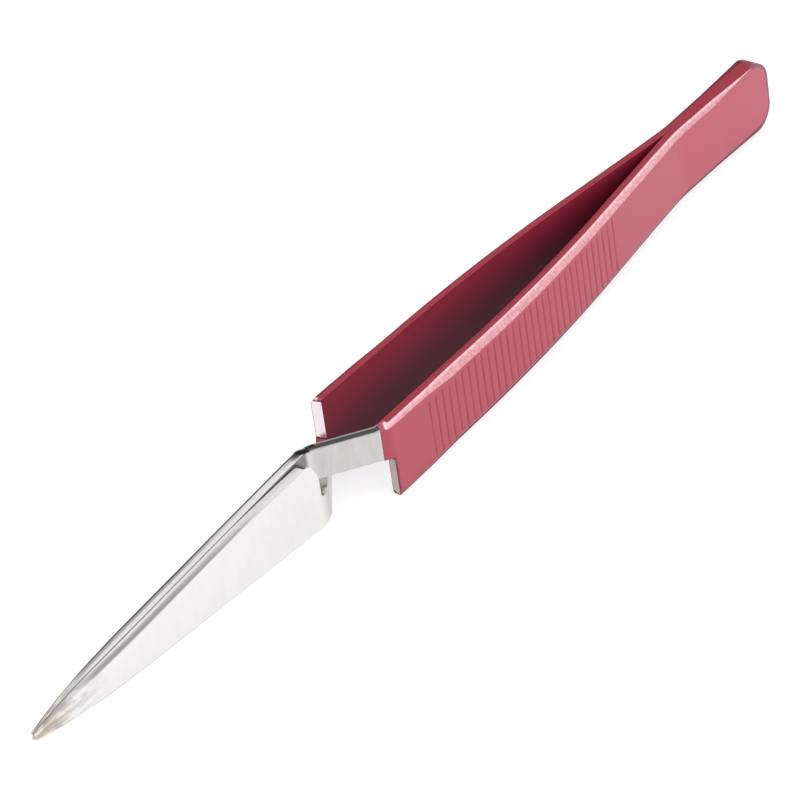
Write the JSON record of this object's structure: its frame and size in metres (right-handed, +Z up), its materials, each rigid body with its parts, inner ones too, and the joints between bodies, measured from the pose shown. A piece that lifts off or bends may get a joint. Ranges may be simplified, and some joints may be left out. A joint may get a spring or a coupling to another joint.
{
  "type": "cross-lock tweezers",
  "caption": "Straight self-closing cross-lock tweezers with flat-faced jaws, crossing straps and red-coated, transversely grooved handles.",
  "frame": {"origin": "middle of the lower edges' plane under the tweezers' bounding box", "axes": "+X from the tips towards the joined tail, +Y from the near handle towards the far handle (the way the jaws open), +Z up across the strips' width"},
  "size_m": [0.165, 0.0132, 0.012],
  "materials": {
    "polished_steel": "polished",
    "red_coat": "satin",
    "weld_steel": "satin"
  },
  "bodies": {
    "tail": {"near_tail_leaf": "polished_steel", "far_tail_leaf": "polished_steel", "tail_spot_welds": "weld_steel", "tail_coat": "red_coat"},
    "near_side": {"near_arm": "polished_steel", "near_handle_coat": "red_coat"},
    "far_side": {"far_arm": "polished_steel", "far_handle_coat": "red_coat"}
  },
  "joints": [
    {"name": "near_flex", "type": "hinge", "parent": "tail", "child": "near_side", "pos_m": [0.04256, -0.00284, 0.006], "axis": [0, 0, 1], "range_deg": [-4.5, 0], "stiffness_Nm_per_rad": 6, "springref_deg": 2.01},
    {"name": "far_flex", "type": "hinge", "parent": "tail", "child": "far_side", "pos_m": [0.04256, 0.00284, 0.006], "axis": [0, 0, 1], "range_deg": [0, 4.5], "stiffness_Nm_per_rad": 6, "springref_deg": -2.01}
  ],
  "couplings": [
    {"joint": "far_flex", "follows": "near_flex", "ratio": -1}
  ]
}
